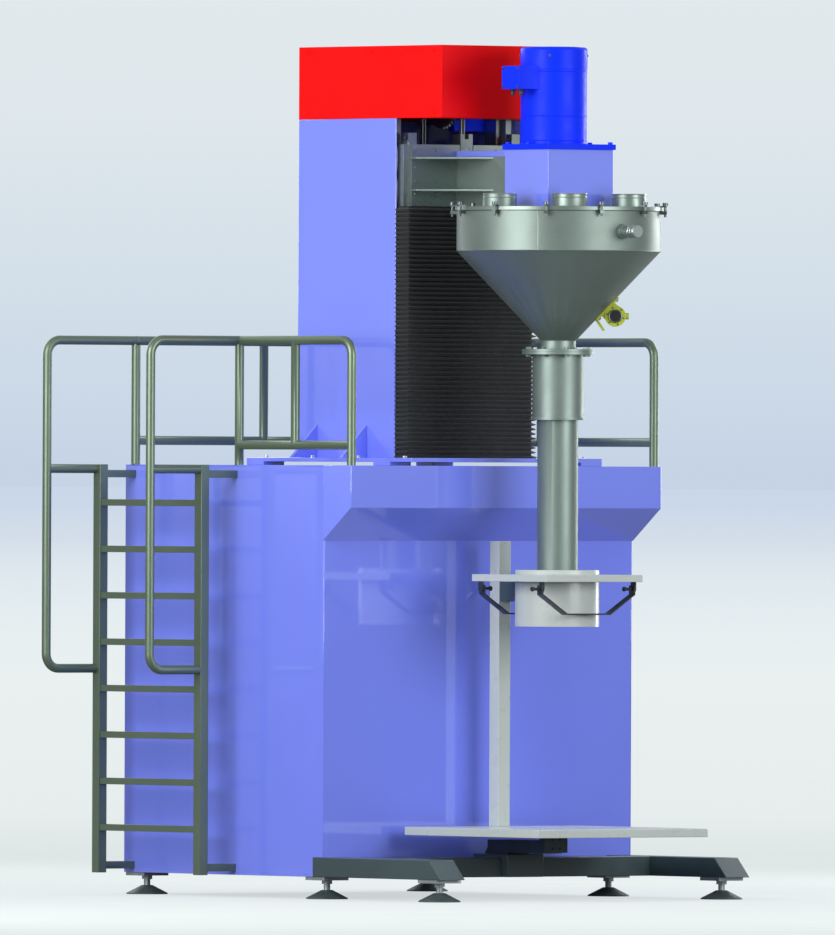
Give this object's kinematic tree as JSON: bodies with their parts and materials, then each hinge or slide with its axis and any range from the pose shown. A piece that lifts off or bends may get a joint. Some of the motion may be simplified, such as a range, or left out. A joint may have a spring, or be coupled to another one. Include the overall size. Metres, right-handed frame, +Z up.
{
  "type": "bulk bag powder filling machine",
  "caption": "Floor-standing powder filler: cabinet with ladder, deck and rails, a lift column carrying a hopper, auger drive and dosing tube over a bag clamp and weighing platform.",
  "frame": {"origin": "centre of the footprint's bounding box, on the floor", "axes": "+Z up; -Y is the front, where the weighing platform and the hopper stand; the ladder is on the -X side"},
  "size_m": [2.7242, 3.1836, 4.564],
  "materials": {
    "lavender_paint": "gloss",
    "red_paint": "satin",
    "blue_paint": "gloss",
    "rail_paint": "satin",
    "cream_paint": "satin",
    "dark_paint": "satin",
    "black_paint": "satin",
    "yellow_paint": "gloss",
    "stainless": "brushed",
    "machined_steel": "machined",
    "galvanised": "zinc plated",
    "bellows_cloth": "matt coated fabric",
    "foot_rubber": "matt"
  },
  "bodies": {
    "machine_frame": {"foot_pads": "foot_rubber", "foot_screws": "galvanised", "outriggers": "dark_paint", "cross_beam": "dark_paint", "weigh_arm": "dark_paint", "weigh_platform": "cream_paint", "platform_frame": "galvanised", "bag_post": "cream_paint", "clamp_bracket": "dark_paint", "clamp_plate": "cream_paint", "bag_spout": "cream_paint", "bail_pivots": "black_paint", "cabinet_floor": "lavender_paint", "cabinet_sides": "lavender_paint", "cabinet_front": "lavender_paint", "cabinet_back": "lavender_paint", "cabinet_frame": "galvanised", "deck": "lavender_paint", "canopy": "lavender_paint", "control_panel": "galvanised", "door_hinges": "galvanised", "ladder_stringers": "rail_paint", "ladder_rungs": "rail_paint", "handrail_loops": "rail_paint", "guardrails": "rail_paint", "column_base": "lavender_paint", "column_walls": "lavender_paint", "column_gussets": "lavender_paint", "column_cap": "red_paint", "guide_rails": "machined_steel", "hoist_chain": "machined_steel", "hoist_bearings": "dark_paint", "hoist_motor": "blue_paint", "bellows": "bellows_cloth"},
    "carriage": {"carriage_plate": "machined_steel", "carriage_frame": "machined_steel", "chain_anchor": "machined_steel", "carriage_arm": "stainless", "arm_cover": "lavender_paint", "hopper_shell": "stainless", "hopper_lid": "stainless", "lid_clamps": "machined_steel", "level_sensor": "stainless", "hopper_vibrator": "yellow_paint", "dosing_tube": "stainless", "tube_jackets": "stainless", "drive_box": "lavender_paint", "drive_plate": "blue_paint", "drive_motor": "blue_paint", "gear_bearings": "machined_steel"},
    "auger": {"auger": "stainless"},
    "agitator": {"agitator": "stainless"},
    "motor_pinion": {"motor_pinion": "machined_steel"},
    "lay_shaft": {"lay_shaft": "machined_steel"},
    "hoist_wheel": {"hoist_wheel": "machined_steel"},
    "idler_wheel": {"idler_wheel": "machined_steel"},
    "front_bail": {"front_bail": "black_paint"},
    "rear_bail": {"rear_bail": "black_paint"},
    "left_door": {"left_door": "lavender_paint"},
    "right_door": {"right_door": "lavender_paint"}
  },
  "joints": [
    {"name": "lift_slide", "type": "slide", "parent": "machine_frame", "child": "carriage", "axis": [0, 0, 1], "range_m": [-0.9, 0], "deforming": ["bellows"]},
    {"name": "auger_spin", "type": "hinge", "parent": "carriage", "child": "auger", "pos_m": [0.29107, -0.91125, 3], "axis": [0, 0, 1], "continuous": true},
    {"name": "motor_spin", "type": "hinge", "parent": "carriage", "child": "motor_pinion", "pos_m": [0.29107, -0.86325, 3.95], "axis": [0, 0, 1], "continuous": true},
    {"name": "layshaft_spin", "type": "hinge", "parent": "carriage", "child": "lay_shaft", "pos_m": [0.39608, -0.91125, 3.85], "axis": [0, 0, 1], "continuous": true},
    {"name": "agitator_spin", "type": "hinge", "parent": "carriage", "child": "agitator", "pos_m": [0.29107, -0.91125, 3.6], "axis": [0, 0, 1], "continuous": true},
    {"name": "hoist_wheel_spin", "type": "hinge", "parent": "machine_frame", "child": "hoist_wheel", "pos_m": [0.29107, 0.09875, 4.295], "axis": [1, 0, 0], "range_deg": [-5, 310]},
    {"name": "idler_wheel_spin", "type": "hinge", "parent": "machine_frame", "child": "idler_wheel", "pos_m": [0.29107, 0.09875, 2.56], "axis": [1, 0, 0], "range_deg": [-5, 310]},
    {"name": "front_bail_swing", "type": "hinge", "parent": "machine_frame", "child": "front_bail", "pos_m": [0.29107, -1.16175, 1.661], "axis": [1, 0, 0], "range_deg": [-75, 0]},
    {"name": "rear_bail_swing", "type": "hinge", "parent": "machine_frame", "child": "rear_bail", "pos_m": [0.29107, -0.66075, 1.661], "axis": [1, 0, 0], "range_deg": [0, 45]},
    {"name": "left_door_hinge", "type": "hinge", "parent": "machine_frame", "child": "left_door", "pos_m": [-0.41292, 1.52975, 1.18], "axis": [0, 0, 1], "range_deg": [0, 110]},
    {"name": "right_door_hinge", "type": "hinge", "parent": "machine_frame", "child": "right_door", "pos_m": [0.99508, 1.52975, 1.18], "axis": [0, 0, 1], "range_deg": [-110, 0]}
  ],
  "couplings": [
    {"joint": "hoist_wheel_spin", "follows": "lift_slide", "rad_per_m": -5.8824},
    {"joint": "idler_wheel_spin", "follows": "lift_slide", "rad_per_m": -5.8824},
    {"joint": "motor_spin", "follows": "auger_spin", "ratio": -1.6667},
    {"joint": "layshaft_spin", "follows": "auger_spin", "ratio": -0.4},
    {"joint": "agitator_spin", "follows": "auger_spin", "ratio": 0.10909}
  ]
}
